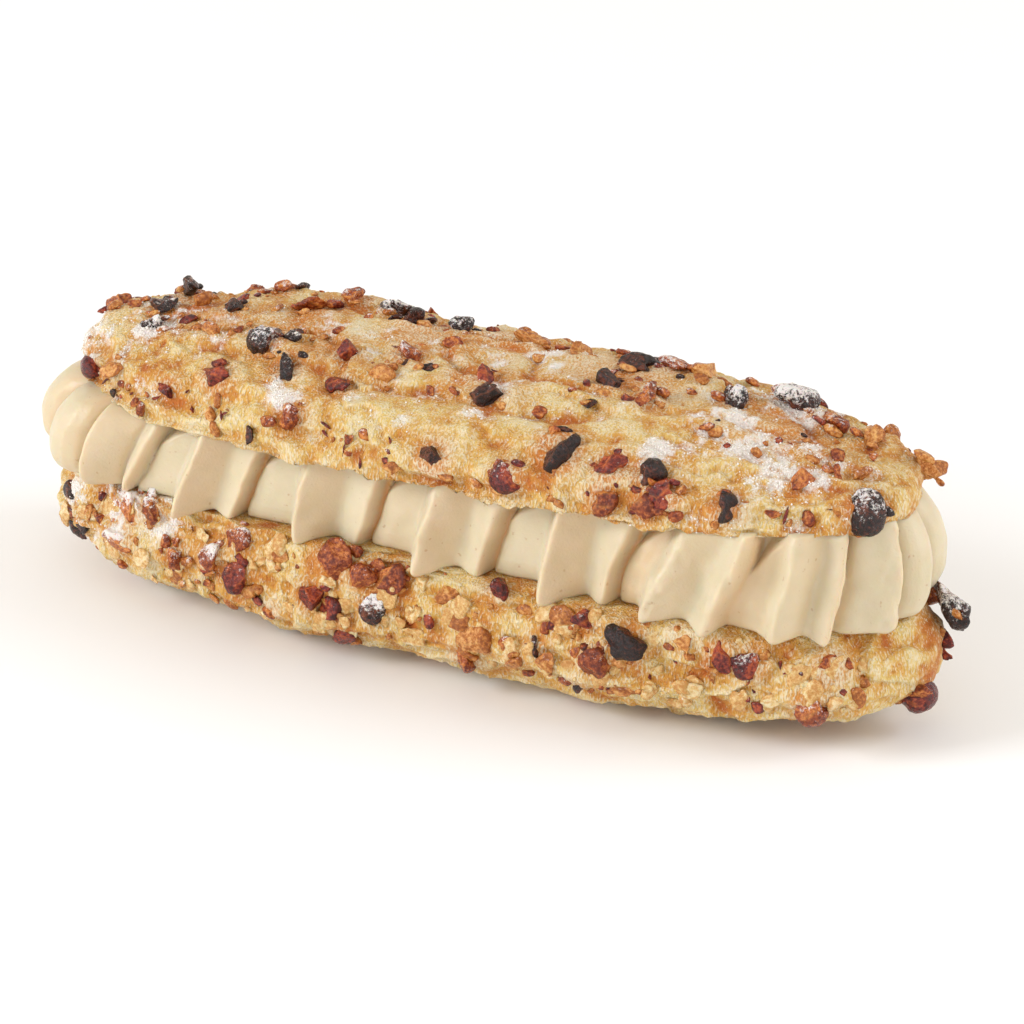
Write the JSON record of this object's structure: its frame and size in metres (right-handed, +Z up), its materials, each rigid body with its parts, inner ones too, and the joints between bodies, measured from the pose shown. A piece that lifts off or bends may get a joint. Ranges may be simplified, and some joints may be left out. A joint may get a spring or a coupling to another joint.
{
  "type": "filled eclair",
  "caption": "Sliced choux eclair with a nut-crusted base and lid held apart by a thick band of cream piped in leaning star-nozzle folds.",
  "frame": {"origin": "middle of the bounding box in plan, on the plane that the base rests on", "axes": "+X along the eclair, -Y towards its front, +Z up"},
  "size_m": [0.1412, 0.0467, 0.0456],
  "materials": {
    "choux": "baked crust, golden and rough, under chopped nuts and icing sugar",
    "cream": "soft satin, pale beige, faintly see-through at its edges"
  },
  "bodies": {
    "root": {"choux_base": "choux", "praline_cream": "cream", "choux_lid": "choux"}
  },
  "joints": []
}
